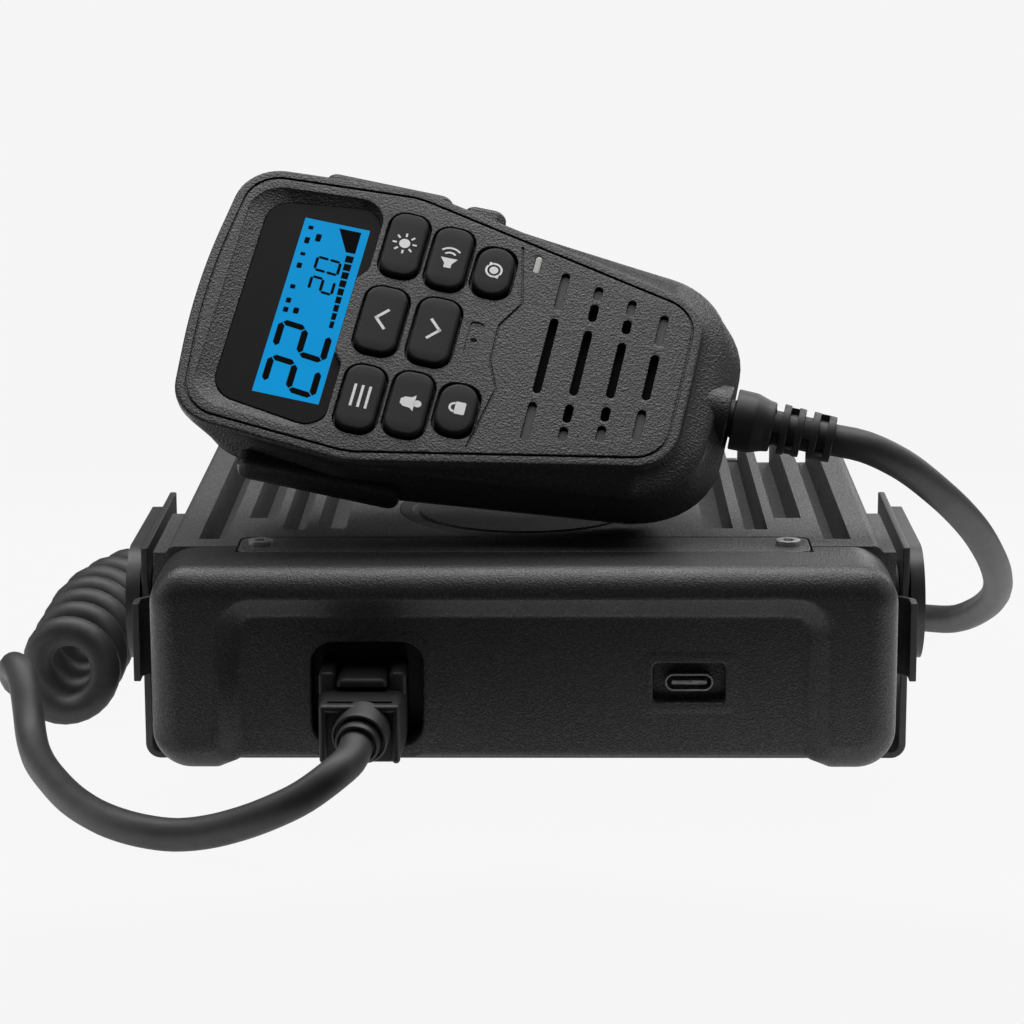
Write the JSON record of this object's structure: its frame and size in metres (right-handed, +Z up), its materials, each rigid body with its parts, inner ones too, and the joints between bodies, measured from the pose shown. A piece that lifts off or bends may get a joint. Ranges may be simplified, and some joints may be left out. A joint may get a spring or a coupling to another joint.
{
  "type": "mobile two-way radio",
  "caption": "Finned vehicle two-way radio in a U mounting bracket with clamp levers, a control handset with display, keys and talk bar lying on top, and a curly cord to its front jack.",
  "frame": {"origin": "middle of the underside of the mounting bracket's base", "axes": "+Z up, -Y out of the radio's front, +X to the right seen from the front"},
  "size_m": [0.2108, 0.2073, 0.1147],
  "materials": {
    "bezel_plastic": "fine-grained black moulding",
    "cast_black": "black powder coat on die-cast aluminium",
    "sheet_black": "satin black paint on steel sheet",
    "soft_black": "matt black rubber",
    "cord_black": "smooth black cord sheath",
    "handset_plastic": "fine-textured black moulding",
    "lens_black": "glossy black window",
    "display_blue": "lit blue display",
    "steel": "plain steel",
    "black_steel": "blackened steel",
    "board_green": "solder-masked circuit board",
    "component_black": "moulded component",
    "insulator_white": "white insulator",
    "plug_clear": "milky clear plug",
    "lamp_clear": "translucent lamp"
  },
  "bodies": {
    "radio": {"front_bezel": "bezel_plastic", "trim_strip": "bezel_plastic", "trim_screws": "black_steel", "heatsink_chassis": "cast_black", "round_plate": "bezel_plastic", "bottom_cover": "sheet_black", "cover_screws": "black_steel", "main_board": "board_green", "shield_can": "steel", "power_transistors": "component_black", "mic_jack": "component_black", "usb_socket": "steel", "usb_board": "board_green", "antenna_socket": "steel", "antenna_core": "insulator_white", "power_inlet": "component_black", "speaker_jack": "component_black", "left_pivot_bolt": "black_steel", "right_pivot_bolt": "black_steel", "friction_washers": "soft_black", "curly_cord": "cord_black", "cord_handset_tail": "cord_black", "cord_plug_tail": "cord_black"},
    "bracket": {"mount_bracket": "sheet_black"},
    "left_lever": {"left_clamp_lever": "sheet_black"},
    "right_lever": {"right_clamp_lever": "sheet_black"},
    "left_tab": {"left_release_tab": "sheet_black", "left_tab_rivets": "black_steel"},
    "right_tab": {"right_release_tab": "sheet_black", "right_tab_rivets": "black_steel"},
    "handset": {"handset_front_shell": "handset_plastic", "handset_rear_shell": "handset_plastic", "display_lens": "lens_black", "lcd_module": "display_blue", "keypad_membrane": "soft_black", "handset_board": "board_green", "handset_speaker": "component_black", "mic_capsule": "steel", "status_lamp": "lamp_clear", "hang_stud": "steel", "shell_screws": "black_steel", "strain_relief": "soft_black"},
    "talk": {"talk_bar": "handset_plastic"},
    "volume": {"volume_rocker": "handset_plastic"},
    "power": {"power_key": "handset_plastic"},
    "plug": {"plug_boot": "soft_black", "modular_plug": "plug_clear"},
    "latch": {"plug_latch": "soft_black"},
    "key_weather_body": {"key_weather": "soft_black"},
    "key_monitor_body": {"key_monitor": "soft_black"},
    "key_scan_body": {"key_scan": "soft_black"},
    "key_up_body": {"key_up": "soft_black"},
    "key_down_body": {"key_down": "soft_black"},
    "key_menu_body": {"key_menu": "soft_black"},
    "key_call_body": {"key_call": "soft_black"},
    "key_lock_body": {"key_lock": "soft_black"}
  },
  "joints": [
    {"name": "bracket_tilt", "type": "hinge", "parent": "radio", "child": "bracket", "pos_m": [0, -0.016, 0.03], "axis": [1, 0, 0], "range_deg": [-20, 8]},
    {"name": "left_lever_turn", "type": "hinge", "parent": "bracket", "child": "left_lever", "pos_m": [-0.0773, -0.016, 0.03], "axis": [1, 0, 0], "range_deg": [-40, 0]},
    {"name": "right_lever_turn", "type": "hinge", "parent": "bracket", "child": "right_lever", "pos_m": [0.0773, -0.016, 0.03], "axis": [1, 0, 0], "range_deg": [-40, 0]},
    {"name": "left_tab_press", "type": "hinge", "parent": "radio", "child": "left_tab", "pos_m": [-0.07135, -0.0276, 0.02825], "axis": [0, 0, 1], "range_deg": [0, 4], "stiffness_Nm_per_rad": 1},
    {"name": "right_tab_press", "type": "hinge", "parent": "radio", "child": "right_tab", "pos_m": [0.07135, -0.0276, 0.02825], "axis": [0, 0, -1], "range_deg": [0, 4], "stiffness_Nm_per_rad": 1},
    {"name": "handset_lift", "type": "slide", "parent": "radio", "child": "handset", "axis": [0, 0, 1], "range_m": [0, 0.06], "deforming": ["cord_handset_tail"]},
    {"name": "talk_press", "type": "slide", "parent": "handset", "child": "talk", "axis": [0.2091, 0.6765, 0.7061], "range_m": [0, 0.0012], "stiffness_N_per_m": 900},
    {"name": "volume_rock", "type": "hinge", "parent": "handset", "child": "volume", "pos_m": [-0.02941, -0.00757, 0.10111], "axis": [0.0566, -0.7293, 0.6819], "range_deg": [-3, 3], "stiffness_Nm_per_rad": 0.3},
    {"name": "power_press", "type": "slide", "parent": "handset", "child": "power", "axis": [-0.2091, -0.6765, -0.7061], "range_m": [0, 0.0008], "stiffness_N_per_m": 900},
    {"name": "plug_pull", "type": "slide", "parent": "radio", "child": "plug", "axis": [0, -1, 0], "range_m": [0, 0.016], "deforming": ["cord_plug_tail"]},
    {"name": "latch_press", "type": "slide", "parent": "plug", "child": "latch", "axis": [0, 0, -1], "range_m": [0, 0.0009], "stiffness_N_per_m": 900},
    {"name": "key_weather_press", "type": "slide", "parent": "handset", "child": "key_weather_body", "axis": [-0.0566, 0.7293, -0.6819], "range_m": [0, 0.0008], "stiffness_N_per_m": 800},
    {"name": "key_monitor_press", "type": "slide", "parent": "handset", "child": "key_monitor_body", "axis": [-0.0566, 0.7293, -0.6819], "range_m": [0, 0.0008], "stiffness_N_per_m": 800},
    {"name": "key_scan_press", "type": "slide", "parent": "handset", "child": "key_scan_body", "axis": [-0.0566, 0.7293, -0.6819], "range_m": [0, 0.0008], "stiffness_N_per_m": 800},
    {"name": "key_up_press", "type": "slide", "parent": "handset", "child": "key_up_body", "axis": [-0.0566, 0.7293, -0.6819], "range_m": [0, 0.0008], "stiffness_N_per_m": 800},
    {"name": "key_down_press", "type": "slide", "parent": "handset", "child": "key_down_body", "axis": [-0.0566, 0.7293, -0.6819], "range_m": [0, 0.0008], "stiffness_N_per_m": 800},
    {"name": "key_menu_press", "type": "slide", "parent": "handset", "child": "key_menu_body", "axis": [-0.0566, 0.7293, -0.6819], "range_m": [0, 0.0008], "stiffness_N_per_m": 800},
    {"name": "key_call_press", "type": "slide", "parent": "handset", "child": "key_call_body", "axis": [-0.0566, 0.7293, -0.6819], "range_m": [0, 0.0008], "stiffness_N_per_m": 800},
    {"name": "key_lock_press", "type": "slide", "parent": "handset", "child": "key_lock_body", "axis": [-0.0566, 0.7293, -0.6819], "range_m": [0, 0.0008], "stiffness_N_per_m": 800}
  ]
}
